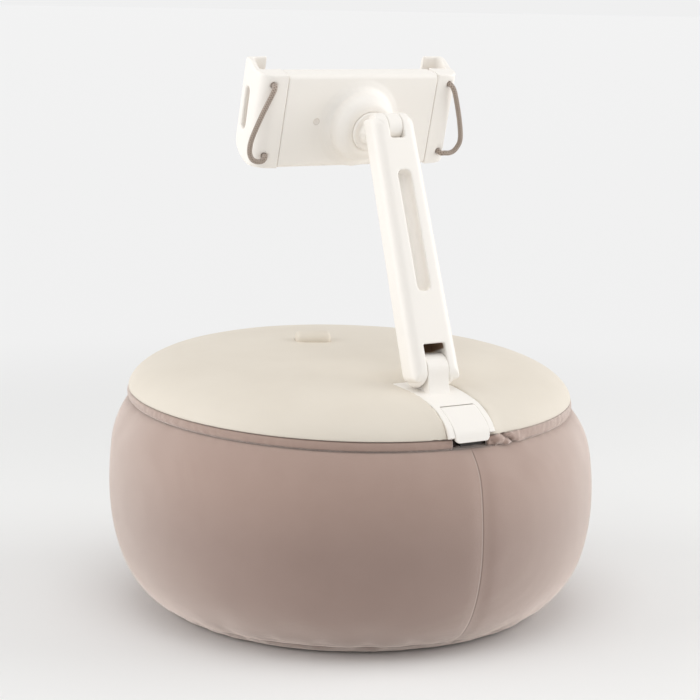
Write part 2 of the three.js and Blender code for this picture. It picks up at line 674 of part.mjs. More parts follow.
// Bolt from the -X side into a captive nut, with a cap over its head and a washer on each side
function hingeHardware(name, z, slotWidth, cheek) {
	const slotHalf = slotWidth / 2;
	const nutOuter = slotHalf + gap + nutThickness;
	const headOuter = -cheek + capThickness + 2 * gap;
	const headInner = headOuter + boltHeadThickness;
	const boltEnd = nutOuter + 1;
	const place = (geometry) => geometry.translate(0, 0, z);
	const bolt = latheX([[0, headOuter], [boltHeadRadius, headOuter], [boltHeadRadius, headInner],
		[boltRadius, headInner], [boltRadius, boltEnd], [0, boltEnd]], 12);
	part(arm, `${name}_bolt`, place(bolt), steel);
	const nut = latheX(ringProfile(boltRadius + runningGap, nutRadius, slotHalf + gap, nutOuter), 6);
	part(arm, `${name}_nut`, place(cut(nut, rodX(boltRadius + runningGap, 0, 30, 16))), steel);
	const capLow = -cheek + 0.1;
	const cap = latheX([[0, capLow], [boltHeadRadius - 0.4, capLow], [boltHeadRadius, capLow + 0.4],
		[boltHeadRadius, capLow + capThickness], [0, capLow + capThickness]], 20);
	part(arm, `${name}_cap`, place(cap), whitePlastic);
	['left', 'right'].forEach((side, i) => {
		const low = (i ? 1 : -1) * (slotHalf - gap - washerThickness / 2) - washerThickness / 2;
		const washer = latheX(ringProfile(boltRadius + runningGap, washerRadius, low, low + washerThickness), 12);
		part(arm, `${name}_washer_${side}`, place(washer), nylon);
	});
	return [
		rodX(boltRadius + runningGap, headOuter - 1, boltEnd + 2 * gap, 16),
		rodX(boltHeadRadius + runningGap, -60, headInner + gap, 20),
		latheX(rodProfile(nutRadius + runningGap, 0, nutOuter + gap), 6),
	].map(place);
}

function buildArm() {
	const lowCheek = armAt(armWidthLow, armWidthHigh, 0) / 2;
	const highCheek = armAt(armWidthLow, armWidthHigh, armLength) / 2;
	const bores = [
		...hingeHardware('lower_hinge', 0, lowSlotWidth, lowCheek),
		...hingeHardware('upper_hinge', armLength, highSlotWidth, highCheek),
	];
	part(arm, 'arm', cut(armBlank(), lowSlot(), highSlot(), flute(), ...bores), whitePlastic);
}

// Head frame: origin on the upper hinge, +Y out of the holder's back, +Z up the holder
const head = new THREE.Group();
head.position.z = armLength;
head.rotation.x = -THREE.MathUtils.degToRad(holderTilt + armLean);
arm.add(head);

// Holder frame: origin where the swivel axis meets the holder's back face
const discFace = domeHeight + 2;
const holder = new THREE.Group();
holder.position.set(0, -headReach - discFace, -headRise);
head.add(holder);

const domeWall = 4.6;
const recessFloor = discFace - discThickness - gap;
const domeCeiling = recessFloor - domeWall;
const swivelHole = swivelBossRadius + runningGap;
const swivelWasherThickness = 0.9;

function buildHead() {
	const half = highSlotWidth / 2 - gap;
	const inHolder = (geometry) => geometry.translate(0, -headReach - discFace, -headRise);
	const discBack = discFace - discThickness;
	const disc = inHolder(latheY([[0, domeCeiling + gap], [swivelBossRadius, domeCeiling + gap],
		[swivelBossRadius, discBack], [discRadius, discBack], [discRadius, discFace - 0.8],
		[discRadius - 0.8, discFace], [10, discFace], [7.5, discFace + 4.5], [0, discFace + 4.5]], 32));
	const outline = new THREE.Shape();
	outline.absarc(0, 0, headKnuckleRadius, -Math.PI / 2, Math.PI * 0.6);
	outline.lineTo(-headReach + 1, 8 - headRise);
	outline.lineTo(-headReach - 0.5, 8 - headRise);
	outline.lineTo(-headReach - 0.5, -8 - headRise);
	outline.lineTo(-headReach + 1, -8 - headRise);
	const neck = prismX(outline, -half, half, 10);
	const hole = rodX(boltRadius + runningGap, -20, 20, 16);
	const screwHole = inHolder(rodY(swivelScrewRadius + runningGap, 0, domeCeiling + 10, 12));
	part(head, 'swivel_head', cut(join(disc, neck), hole, screwHole, ...washerSinks(highSlotWidth)), whitePlastic);

	const washerTop = domeCeiling - gap / 2;
	const washerLow = washerTop - swivelWasherThickness;
	const washer = latheY(ringProfile(swivelScrewRadius + runningGap, 8.6, washerLow, washerTop), 16);
	part(holder, 'swivel_washer', washer, steel);
	const headTop = washerLow - gap;
	const screw = latheY([[0, headTop - 2.4], [3.8, headTop - 2.4], [3.8, headTop], [swivelScrewRadius, headTop],
		[swivelScrewRadius, domeCeiling + 9], [0, domeCeiling + 9]], 12);
	part(holder, 'swivel_screw', screw, steel);
}

const bodyHalf = holderWidth / 2;
const bodyLow = holderRise - holderHeight / 2;
const bodyHigh = holderRise + holderHeight / 2;
const trayFront = -holderThickness + frontThickness + gap;
const screwPlaces = [[-1, -1], [1, -1], [-1, 1], [1, 1]].map(([side, level]) =>
	[side * frontPadPlace, holderRise + level * holderScrewRise]);
const pitchRadius = (rackModule * pinionTeeth) / 2;
const rackMiddle = (trayFront - holderWall) / 2;
const rackSpan = [rackMiddle - rackThickness / 2, rackMiddle + rackThickness / 2];
const fingerLevel = holderHeight / 2 - holderWall - gap - fingerHeight / 2;
const springPostPlace = bodyHalf - 10;
const springPostRadius = 1.6;

function buildBody() {
	const profile = new THREE.Shape();
	const round = 3.5;
	profile.moveTo(trayFront, bodyLow);
	profile.lineTo(-round, bodyLow);
	profile.absarc(-round, bodyLow + round, round, -Math.PI / 2, 0);
	profile.absarc(-round, bodyHigh - round, round, 0, Math.PI / 2);
	profile.lineTo(trayFront, bodyHigh);
	const shell = prismX(profile, -bodyHalf, bodyHalf, 4);
	const inside = box([-100, 100], [-100, -holderWall], [bodyLow + holderWall, bodyHigh - holderWall]);
	const domeTop = discRadius + 2.4;
	const bell = [[0, -1], [domeRadius + 7, -1], [domeRadius + 7, 0.2], [domeRadius + 3, 1], [domeRadius, 3]];
	const shoulder = [];
	for (let i = 1; i <= 6; i++) {
		const turn = (i / 6) * (Math.PI / 2);
		shoulder.push([domeTop + (domeRadius - domeTop) * Math.cos(turn), 3 + (domeHeight - 3) * Math.sin(turn)]);
	}
	const bellBody = latheY([...bell, ...shoulder, [0, domeHeight]], 32);
	const bellRoom = latheY([[0, -20], [domeTop - 3, -20], [domeTop - 3, domeCeiling - 2], [domeTop - 5, domeCeiling],
		[0, domeCeiling]], 20);
	const recess = rodY(discRadius + gap, recessFloor, discFace + 5, 32);
	const hole = rodY(swivelHole, 0, discFace, 20);
	const pillars = screwPlaces.map(([x, z]) => rodY(3.4, trayFront, -holderWall + 0.5, 12).translate(x, 0, z));
	const pilots = screwPlaces.map(([x, z]) =>
		rodY(holderScrewRadius + runningGap, trayFront - 1, trayFront + 8, 10).translate(x, 0, z));
	const posts = [-1, 1].map((side) =>
		rodY(springPostRadius, trayFront + 2, -holderWall + 0.5, 8)
			.translate(side * springPostPlace, 0, holderRise + side * fingerLevel));
	const tray = join(cut(shell, inside), bellBody, ...pillars, ...posts);
	const gateMark = rodY(2.4, -0.7, 9, 14).translate(gateMarkPlace, 0, holderRise);
	part(holder, 'holder_back', cut(tray, bellRoom, recess, hole, gateMark, ...pilots), whitePlastic);

	const plate = prismY(roundedRectangle([-bodyHalf, bodyHalf], [bodyLow, bodyHigh], 2), -holderThickness,
		-holderThickness + frontThickness, 3);
	const axle = rodY(2.4, -holderThickness + 1, rackSpan[1] + 1, 16).translate(0, 0, holderRise);
	const sinks = screwPlaces.flatMap(([x, z]) => [
		rodY(holderScrewRadius + runningGap, -holderThickness - 1, trayFront, 10).translate(x, 0, z),
		rodY(holderScrewHead + runningGap, -holderThickness - 1, -holderThickness + 1.6, 12).translate(x, 0, z),
	]);
	part(holder, 'holder_front', cut(join(plate, axle), ...sinks), whitePlastic);

	screwPlaces.forEach(([x, z], i) => {
		const low = -holderThickness + 0.1;
		const screw = latheY([[0, low], [holderScrewHead, low], [holderScrewHead, low + 1.3],
			[holderScrewRadius, low + 1.3], [holderScrewRadius, low + 9], [0, low + 9]], 10);
		part(holder, `holder_screw_${i + 1}`, screw.translate(x, 0, z), steel);
	});

	['left', 'right'].forEach((side, i) => {
		const middle = (i ? 1 : -1) * frontPadPlace;
		const outline = roundedRectangle([middle - frontPadWidth / 2, middle + frontPadWidth / 2],
			[holderRise - frontPadHeight / 2, holderRise + frontPadHeight / 2], 4);
		const top = -holderThickness - gap;
		part(holder, `front_pad_${side}`, prismY(outline, top - padThickness, top, 3), softRubber);
	});
}

// Involute pinion between the two racks, so that both jaws open alike
function buildPinion() {
	const pressure = THREE.MathUtils.degToRad(20);
	const involute = (angle) => Math.tan(angle) - angle;
	const baseRadius = pitchRadius * Math.cos(pressure);
	const tip = pitchRadius + rackModule * 0.95;
	const root = pitchRadius - rackModule * 1.3;
	const halfTooth = Math.PI / (2 * pinionTeeth) - backlash / (4 * pitchRadius);
	const halfAngle = (radius) =>
		halfTooth + involute(pressure) - involute(Math.acos(Math.min(baseRadius / radius, 1)));
	const flank = [root, pitchRadius, tip];
	const outline = [];
	for (let tooth = 0; tooth < pinionTeeth; tooth++) {
		const middle = Math.PI / 2 - (tooth / pinionTeeth) * Math.PI * 2;
		flank.forEach((radius) => outline.push([radius, middle + halfAngle(radius)]));
		[...flank].reverse().forEach((radius) => outline.push([radius, middle - halfAngle(radius)]));
	}
	const shape = shapeOf(outline.map(([r, turn]) => [r * Math.cos(turn), r * Math.sin(turn)]));
	const wheel = prismY(shape, ...rackSpan);
	const bore = rodY(2.4 + runningGap, -20, 20, 16);
	part(holder, 'sync_pinion', cut(wheel, bore).translate(0, 0, holderRise), nylon);
}

// Rack bar of the right jaw, teeth down on the pitch line above the pinion
function rackBar(outerEnd) {
	const pitch = Math.PI * rackModule;
	const slope = Math.tan(THREE.MathUtils.degToRad(20));
	const tipLevel = pitchRadius - rackModule * 0.95;
	const rootLevel = pitchRadius + rackModule * 1.3;
	const barTop = rootLevel + rackBarHeight;
	const halfAt = (level) => pitch / 4 - backlash / 4 + (level - pitchRadius) * slope;
	const first = -Math.ceil((jawTravel + 6) / pitch);
	const outline = [[(first - 0.5) * pitch, barTop], [(first - 0.5) * pitch, rootLevel]];
	for (let tooth = first; tooth < 4; tooth++) {
		const middle = (tooth + 0.5) * pitch;
		outline.push([middle - halfAt(rootLevel), rootLevel], [middle - halfAt(tipLevel), tipLevel]);
		outline.push([middle + halfAt(tipLevel), tipLevel], [middle + halfAt(rootLevel), rootLevel]);
	}
	outline.push([outerEnd, rootLevel], [outerEnd, barTop]);
	return prismY(shapeOf(outline), ...rackSpan);
}

// Jaw at +X or mirrored at -X, levels from the holder's mid-height. The right jaw's rack runs above
// the pinion and its guide finger below, and the left jaw's the other way round.
function jawSolid(way) {
	const outer = jawSpan / 2;
	const seam = bodyHalf + gap;
	const plan = new THREE.Shape();
	plan.moveTo(seam, 0);
	plan.lineTo(outer - jawBackCorner, 0);
	plan.absarc(outer - jawBackCorner, -jawBackCorner, jawBackCorner, Math.PI / 2, 0, true);
	plan.absarc(outer - jawFrontCorner, -jawDepth + jawFrontCorner, jawFrontCorner, 0, -Math.PI / 2, true);
	plan.lineTo(outer - lipReach, -jawDepth);
	plan.lineTo(outer - lipReach, -jawDepth + lipThickness);
	plan.absarc(outer - jawWall - 3, -jawDepth + lipThickness + 3, 3, -Math.PI / 2, 0);
	plan.lineTo(outer - jawWall, -holderThickness);
	plan.lineTo(seam, -holderThickness);
	const low = -holderHeight / 2;
	const high = holderHeight / 2;
	const side = new THREE.Shape();
	side.moveTo(0, low);
	side.lineTo(0, high);
	side.lineTo(-holderThickness, high + jawTopRise / 3);
	side.absarc(-jawDepth + 3.5, high + jawTopRise - 3.5, 3.5, Math.PI / 2, Math.PI);
	const [heelDepth, heelHeight] = jawHeel;
	side.absellipse(heelDepth - jawDepth, low + heelHeight, heelDepth, heelHeight, Math.PI, Math.PI * 1.5);
	const body = common(prismZ(plan, -80, 80, 5), prismX(side, 0, 200, 5));
	const bar = rackBar(seam + 2);
	const fingerSpan = [-fingerLevel - fingerHeight / 2, -fingerLevel + fingerHeight / 2];
	const finger = box([bodyHalf - fingerReach, seam + 2], rackSpan, fingerSpan);
	const windowY = -jawDepth + lipThickness + windowWidth / 2 + windowSetback;
	const window = prismX(roundedRectangle([windowY - windowWidth / 2, windowY + windowWidth / 2],
		[windowRise - windowLength / 2, windowRise + windowLength / 2], windowWidth / 2 - 0.1), outer - jawWall - 4, outer + 9, 4);
	const holes = [cordHoleTop, cordHoleBottom].map((level) =>
		rodY(cordDiameter / 2 + gap, -cordHoleDepth, 9, 12).translate(cordHolePlace, 0, level));
	const block = cut(body, window, ...holes).scale(way, 1, 1);
	const turn = way < 0 ? Math.PI : 0;
	return join(block, bar.rotateY(turn), finger.rotateY(turn));
}

function buildJaws() {
	const outer = jawSpan / 2;
	Object.entries({ right: 1, left: -1 }).forEach(([side, way]) => {
		const jaw = new THREE.Group();
		jaw.position.z = holderRise;
		holder.add(jaw);
		part(jaw, `jaw_${side}`, jawSolid(way), whitePlastic);
		const ends = [way * (outer - lipReach + 0.6), way * (outer - jawWall - 3)].sort((a, b) => a - b);
		const padBack = -jawDepth + lipThickness + gap;
		const padEnds = [jawPadMargin - holderHeight / 2, holderHeight / 2 - jawPadMargin / 2];
		const pad = prismY(roundedRectangle(ends, padEnds, 2), padBack, padBack + padThickness, 3);
		part(jaw, `jaw_pad_${side}`, pad, softRubber);
		const springEnds = [-springPostPlace + springPostRadius, bodyHalf - fingerReach];
		const coilEnds = springEnds.map((x) => way * x).sort((a, b) => a - b);
		const spring = coil(jawSpringRadius, jawSpringWire, coilEnds[0] + gap, coilEnds[1] - gap, jawSpringTurns);
		part(jaw, `jaw_spring_${side}`, spring.translate(0, rackMiddle, -way * fingerLevel), steel);
		const route = cordRoute.map(([out, level, off]) =>
			new THREE.Vector3(way * (cordHolePlace + out), off, level));
		const curve = new THREE.CatmullRomCurve3(route, false, 'centripetal');
		part(jaw, `elastic_cord_${side}`, tube(curve, cordDiameter / 2, 8, 30), taupeElastic);
	});
}

buildCushion();
buildLid();
buildPullTab();
buildClip();
buildLatch();
buildArm();
buildHead();
buildBody();
buildPinion();
buildJaws();

export default model;
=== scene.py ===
import json
from math import atan2, copysign, cos, exp, hypot, pi, radians, sin, tan

import bmesh
import bpy
from mathutils import Matrix, Vector, noise


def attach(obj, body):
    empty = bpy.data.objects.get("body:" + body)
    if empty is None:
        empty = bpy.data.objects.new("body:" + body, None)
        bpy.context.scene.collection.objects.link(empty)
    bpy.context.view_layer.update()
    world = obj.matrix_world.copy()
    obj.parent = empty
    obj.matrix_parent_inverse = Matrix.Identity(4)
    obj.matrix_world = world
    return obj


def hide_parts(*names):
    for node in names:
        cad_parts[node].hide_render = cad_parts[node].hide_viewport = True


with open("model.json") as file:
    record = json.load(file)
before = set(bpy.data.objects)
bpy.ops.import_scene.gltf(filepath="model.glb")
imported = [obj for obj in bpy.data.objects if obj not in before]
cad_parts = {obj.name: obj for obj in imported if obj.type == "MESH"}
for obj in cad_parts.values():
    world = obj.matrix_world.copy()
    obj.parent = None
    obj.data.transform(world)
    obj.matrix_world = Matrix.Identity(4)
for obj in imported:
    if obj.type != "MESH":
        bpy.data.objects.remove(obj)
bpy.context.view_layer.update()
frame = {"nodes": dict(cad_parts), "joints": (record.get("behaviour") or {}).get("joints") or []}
scene = bpy.context.scene
scene.view_settings.view_transform = "Standard"

# Camera
# The stand is seen from behind its arm and a little to one side, from just above the holder's height,
# with a long lens and a slight roll of the frame.
view_turn = radians(30.8)
view_drop = radians(10.05)
view_roll = radians(1)
view_distance = 1.49
view_height = 0.456
lens_length = 102.86
sensor_width = 36

camera = bpy.data.objects.new("camera", bpy.data.cameras.new("camera"))
camera.data.sensor_width = sensor_width
camera.data.lens = lens_length
camera.data.clip_end = 200
camera.matrix_world = (
    Matrix.Translation((view_distance * sin(view_turn), view_distance * cos(view_turn), view_height))
    @ Matrix.Rotation(pi - view_turn, 4, "Z")
    @ Matrix.Rotation(pi / 2 - view_drop, 4, "X")
    @ Matrix.Rotation(view_roll, 4, "Z")
)
scene.collection.objects.link(camera)
scene.camera = camera


# Elastic cords
# One thin braided elastic on each jaw, pushed through two holes in the jaw's back and knotted inside.
# It bows outwards and sags a little between the holes, on one jaw more than on the other.
class Tone:
    """A socket of a finish, which can be used in sums."""

    def __init__(self, finish, socket):
        self.finish = finish
        self.socket = socket

    def math(self, operation, *others):
        sockets = dict(enumerate((self, *others)))
        return self.finish.node("ShaderNodeMath", {"operation": operation}, sockets)

    def __add__(self, other):
        return self.math("ADD", other)

    def __sub__(self, other):
        return self.math("SUBTRACT", other)

    def __rsub__(self, other):
        return self.finish.node("ShaderNodeMath", {"operation": "SUBTRACT"}, {0: other, 1: self})

    def __mul__(self, other):
        return self.math("MULTIPLY", other)

    __radd__ = __add__
    __rmul__ = __mul__

    def spread(self, low, high, start, end):
        """A smooth step from a start to an end, while the value goes from low to high."""
        sockets = {0: self, 1: low, 2: high, 3: start, 4: end}
        return self.finish.node("ShaderNodeMapRange", {"interpolation_type": "SMOOTHSTEP"}, sockets)

    def near(self, place, width):
        """1 where the value is at a place, fading to 0 at a distance from it."""
        return (self - place).math("ABSOLUTE").spread(0.0, width, 1.0, 0.0)

    def rise(self, low, high):
        """0 below a value and 1 above another."""
        return self.spread(low, high, 0.0, 1.0)


class Finish:
    """A material whose nodes are added one by one."""

    def __init__(self, name, **sockets):
        self.material = bpy.data.materials.new(name)
        self.material.use_nodes = True
        self.tree = self.material.node_tree
        self.shader = self.tree.nodes["Principled BSDF"]
        for socket, value in sockets.items():
            self.feed(self.shader.inputs[socket.replace("_", " ")], value)

    def feed(self, socket, value):
        if isinstance(value, Tone):
            self.tree.links.new(value.socket, socket)
        else:
            socket.default_value = value

    def node(self, kind, settings=None, sockets=None, out=0):
        node = self.tree.nodes.new(kind)
        for key, value in (settings or {}).items():
            setattr(node, key, value)
        for key, value in (sockets or {}).items():
            self.feed(node.inputs[key], value)
        return Tone(self, node.outputs[out])

    def vector(self, operation, *vectors, out=0):
        return self.node("ShaderNodeVectorMath", {"operation": operation}, dict(enumerate(vectors)), out)

    def place(self, out="Object"):
        return self.node("ShaderNodeTexCoord", out=out)

    def axes(self, vector):
        split = self.node("ShaderNodeSeparateXYZ", sockets={0: vector}).socket.node
        return [Tone(self, socket) for socket in split.outputs]

    def grain(self, scale, detail=2.0):
        sockets = {"Vector": self.place(), "Scale": scale, "Detail": detail}
        return self.node("ShaderNodeTexNoise", sockets=sockets)

    def mix(self, share, first, second):
        return self.node("ShaderNodeMix", {"data_type": "RGBA"}, {0: share, 6: first, 7: second}, out=2)

    def colour(self, tone):
        self.feed(self.shader.inputs["Base Color"], tone)

    def rough(self, tone):
        self.feed(self.shader.inputs["Roughness"], tone)

    def relief(self, height, depth, strength=1.0):
        sockets = {"Strength": strength, "Distance": depth, "Height": height}
        self.feed(self.shader.inputs["Normal"], self.node("ShaderNodeBump", sockets=sockets))


def paint(red, green, blue):
    """A colour as a paint chip reads, from 0 to 255, for a shader."""
    shares = [c / 255 for c in (red, green, blue)]
    return (*(c / 12.92 if c < 0.0405 else ((c + 0.055) / 1.055) ** 2.4 for c in shares), 1.0)


def piece(name, bm, finish):
    """A smooth object of one finish."""
    mesh = bpy.data.meshes.new(name)
    bm.to_mesh(mesh)
    bm.free()
    mesh.shade_smooth()
    mesh.materials.append(finish.material)
    obj = bpy.data.objects.new(name, mesh)
    scene.collection.objects.link(obj)
    return obj


def ease(low, high, value):
    """A smooth step from 0 to 1, while the value goes from low to high."""
    t = min(max((value - low) / (high - low), 0.0), 1.0)
    return t * t * (3 - 2 * t)


def smooth_route(points, steps):
    """Points of a smooth curve through the given ones."""
    route = []
    for i in range(len(points) - 1):
        a, b, c, d = (points[min(max(i + k, 0), len(points) - 1)] for k in (-1, 0, 1, 2))
        bend = 2 * a - 5 * b + 4 * c - d
        twist = 3 * b - a - 3 * c + d
        for step in range(steps):
            t = step / steps
            route.append(0.5 * (2 * b + (c - a) * t + bend * t**2 + twist * t**3))
    return route + [points[-1]]


def tube(route, radius, sides):
    """A tube along a route, with its turn and length in a UV map."""
    bm = bmesh.new()
    turn = Vector((0, 0, 1)).rotation_difference(route[1] - route[0])
    ring = bmesh.ops.create_circle(bm, segments=sides, radius=radius)["verts"]
    bmesh.ops.transform(bm, matrix=Matrix.Translation(route[0]) @ turn.to_matrix().to_4x4(), verts=ring)
    marks = {vert: (i / sides, 0.0) for i, vert in enumerate(ring)}
    edges = list({edge for vert in ring for edge in vert.link_edges})
    heading, run = (route[1] - route[0]).normalized(), 0.0
    for i in range(1, len(route)):
        after = (route[min(i + 1, len(route) - 1)] - route[i - 1]).normalized()
        run += (route[i] - route[i - 1]).length
        grown = bmesh.ops.extrude_edge_only(bm, edges=edges)["geom"]
        fresh = [item for item in grown if isinstance(item, bmesh.types.BMVert)]
        edges = [item for item in grown if isinstance(item, bmesh.types.BMEdge)]
        swing = heading.rotation_difference(after).to_matrix().to_4x4()
        move = Matrix.Translation(route[i]) @ swing @ Matrix.Translation(-route[i - 1])
        for vert in fresh:
            twin = min(ring, key=lambda other: (other.co - vert.co).length_squared)
            marks[vert] = (marks[twin][0], run)
        bmesh.ops.transform(bm, matrix=move, verts=fresh)
        ring, heading = fresh, after
    uv = bm.loops.layers.uv.new("UVMap")
    for face in bm.faces:
        wraps = max(marks[v][0] for v in face.verts) > 0.75
        for loop in face.loops:
            around, along = marks[loop.vert]
            loop[uv].uv = (1.0 if wraps and around < 0.25 else around, along)
    bmesh.ops.holes_fill(bm, edges=[e for e in bm.edges if e.is_boundary], sides=sides)
    bmesh.ops.recalc_face_normals(bm, faces=bm.faces)
    return bm


joints = {joint["name"]: joint for joint in frame["joints"]}
holder_lean = radians(-15)
holder_place = Matrix.Translation(joints["head_spin"]["pos_m"]) @ Matrix.Rotation(holder_lean, 4, "X")
holder_rise = 0.0022
cord_diameter = 0.0038
cord_hole = 0.075
braid_strands = 8
braid_twist = 3600
# Millimetres outwards from the hole line, above the holder's mid-height, and off its back
cord_route = [
    (0, 27.6, -6.2), (0, 27.6, -2.2), (0.1, 27.5, 0.2), (0.7, 26.7, 2.2), (2.2, 24, 3.6), (4.4, 19, 4),
    (8.2, 9.5, 4), (11.6, 0, 4), (14.6, -10, 3.9), (15.4, -16.2, 3.8), (14.6, -21.4, 3.6),
    (11.8, -25.6, 3.5), (7.8, -27.4, 3.4), (3.9, -27.4, 3.2), (1.2, -26.4, 2.2), (0.1, -25.5, 0.2),
    (0, -25.4, -1.8), (0, -25.4, -6.2),
]
cord_sag = {"right": 0.8, "left": -1.6}
sag_levels = (-14, -22)
sag_off = (2, 3)

elastic = Finish("taupe_elastic", Roughness=0.9, Sheen_Weight=0.35, Sheen_Roughness=0.5)
around, along, _ = elastic.axes(elastic.place("UV"))
strands, twist = around * (pi * braid_strands), along * braid_twist
braid = (strands + twist).math("SINE").math("MAXIMUM", (strands - twist).math("SINE"))
elastic.colour(elastic.mix(braid.rise(-0.3, 1.0), paint(140, 124, 112), paint(188, 172, 159)))
elastic.relief(braid, depth=0.0004, strength=0.7)


def cord_point(side, way, out, level, off):
    """A point of the route on one jaw, with the loop's own sag."""
    sag = cord_sag[side] * ease(*sag_levels, level) * ease(*sag_off, off)
    across = way * (cord_hole + out / 1000)
    return holder_place @ Vector((across, off / 1000, holder_rise + (level - sag) / 1000))


for side, way in {"right": 1, "left": -1}.items():
    route = smooth_route([cord_point(side, way, *place) for place in cord_route], steps=4)
    cord = piece(f"elastic_{side}", tube(route, cord_diameter / 2, sides=16), elastic)
    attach(cord, f"{side}_jaw")
    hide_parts(f"elastic_cord_{side}")
    length = sum((b - a).length for a, b in zip(route, route[1:]))

# Studio floor and lights
# A pale seamless floor, a white tent all round and large soft lamps at both sides and above. Beyond the
# stand's shadow the floor passes into an even pale glow.
floor_radius = 60
floor_fade = (0.45, 1.25)
tent_light = (0.52, 0.52, 0.52, 1)
lamp_target = Vector((0, 0, 0.18))

black = paint(0, 0, 0)
pale_floor = Finish("pale_floor", Roughness=0.95, Specular_IOR_Level=0.1, Emission_Strength=1.0)
far_floor = pale_floor.vector("LENGTH", pale_floor.place(), out="Value").rise(*floor_fade)
pale_floor.colour(pale_floor.mix(far_floor, paint(243, 243, 242), black))
floor_glow = pale_floor.mix(far_floor, black, paint(238, 238, 238))
pale_floor.feed(pale_floor.shader.inputs["Emission Color"], floor_glow)
bm = bmesh.new()
bmesh.ops.create_circle(bm, cap_ends=True, segments=64, radius=floor_radius)
piece("floor", bm, pale_floor)

scene.world = bpy.data.worlds.new("tent")
scene.world.use_nodes = True
tent = scene.world.node_tree
lit = tent.nodes["Background"]
lit.inputs["Color"].default_value = tent_light
seen = tent.nodes.new("ShaderNodeBackground")
seen.inputs["Color"].default_value = paint(240, 240, 240)
ray = tent.nodes.new("ShaderNodeLightPath")
either = tent.nodes.new("ShaderNodeMixShader")
mirrored = tent.nodes.new("ShaderNodeMath")
visible = tent.nodes.new("ShaderNodeMath")
mirrored.operation = visible.operation = "MAXIMUM"
for source, target in (
    (ray.outputs["Is Glossy Ray"], mirrored.inputs[0]),
    (ray.outputs["Is Transmission Ray"], mirrored.inputs[1]),
    (ray.outputs["Is Camera Ray"], visible.inputs[0]),
    (mirrored.outputs[0], visible.inputs[1]),
    (visible.outputs[0], either.inputs[0]),
    (lit.outputs[0], either.inputs[1]),
    (seen.outputs[0], either.inputs[2]),
    (either.outputs[0], tent.nodes["World Output"].inputs["Surface"]),
):
    tent.links.new(source, target)


def lamp(name, across, ahead, height, size, power):
    """A square lamp aimed at the middle of the stand, placed as the camera sees it."""
    right = Vector((-cos(view_turn), sin(view_turn), 0))
    towards = Vector((sin(view_turn), cos(view_turn), 0))
    light = bpy.data.lights.new(name, "AREA")
    light.size = size
    light.energy = power
    obj = bpy.data.objects.new(name, light)
    place = right * across + towards * ahead + Vector((0, 0, height))
    aim = (lamp_target - place).to_track_quat("-Z", "Y")
    obj.matrix_world = Matrix.Translation(place) @ aim.to_matrix().to_4x4()
    scene.collection.objects.link(obj)


lamp("left_lamp", across=-1.7, ahead=0.4, height=0.7, size=1.6, power=15.6)
lamp("right_lamp", across=1.8, ahead=-0.2, height=0.8, size=1.5, power=17.5)
lamp("top_lamp", across=0.0, ahead=0.5, height=2.2, size=1.6, power=12)

# Bead cushion
# A tub of stretch knit packed with foam beads: a side panel closed by one upright seam under the clip,
# and a base panel sewn on just above the floor. Its top is held down by the lid and leans with it, and
# the beads have settled a little to one side.
cushion_radius = 0.1834
cushion_waist = 0.088
cushion_base = 0.134
cushion_neck = 0.163
cushion_height = 0.156
cushion_voxel = 0.005
held_edge = 0.002
taut_from = 0.012
taut_margin = 0.0015
lid_height = 0.163
lid_tilt = radians(2)
settled = Vector((-0.0029, 0.0017, 0))
bead_swell = 0.0007
bead_scale = 13
bead_floor = 0.004
shoulder_swell = 0.0012
shoulder_height = 0.138
shoulder_width = 0.02
seam_height = 0.0075
seam_depth = 0.0012
seam_dent_width = 0.005
base_dent_width = 0.004
seam_line = 0.0011
base_line = 0.0009
seam_end = (0.146, 0.150)
# Heights over which the knit is painted lighter, as painted light from above on the shoulder
shoulder_light_heights = (0.072, 0.132)
neck_level = -0.0072
neck_line = 0.0014
knit_wales = 1400
knit_courses = 7200


def cushion_outline(inset):
    """Radius and height from the middle of the base to the middle of the top."""
    low = (cushion_radius - cushion_base - inset, cushion_waist)
    high = (cushion_radius - cushion_neck - inset, cushion_height - cushion_waist)
    quarter = [i * pi / 24 for i in range(13)]
    under = [(cushion_base + low[0] * sin(a), cushion_waist - low[1] * cos(a)) for a in quarter]
    over = [(cushion_neck + high[0] * cos(a), cushion_waist + high[1] * sin(a)) for a in quarter[1:]]
    return [(0, 0)] + under + over + [(0, cushion_height)]


def revolve(outline, steps):
    """A round mesh with the given radii and heights."""
    bm = bmesh.new()
    chain = [bm.verts.new((r, 0, z)) for r, z in outline]
    edges = [bm.edges.new(pair) for pair in zip(chain, chain[1:])]
    bmesh.ops.spin(
        bm, geom=chain + edges, axis=(0, 0, 1), cent=(0, 0, 0), angle=2 * pi, steps=steps, use_merge=True,
    )
    bmesh.ops.remove_doubles(bm, verts=bm.verts, dist=1e-6)
    bmesh.ops.recalc_face_normals(bm, faces=bm.faces)
    return bm


def remeshed(obj, voxel):
    """The object's mesh, rebuilt as an even skin."""
    skin = obj.modifiers.new("skin", "REMESH")
    skin.mode = "VOXEL"
    skin.voxel_size = voxel
    mesh = bpy.data.meshes.new_from_object(obj.evaluated_get(bpy.context.evaluated_depsgraph_get()))
    obj.modifiers.remove(skin)
    return mesh


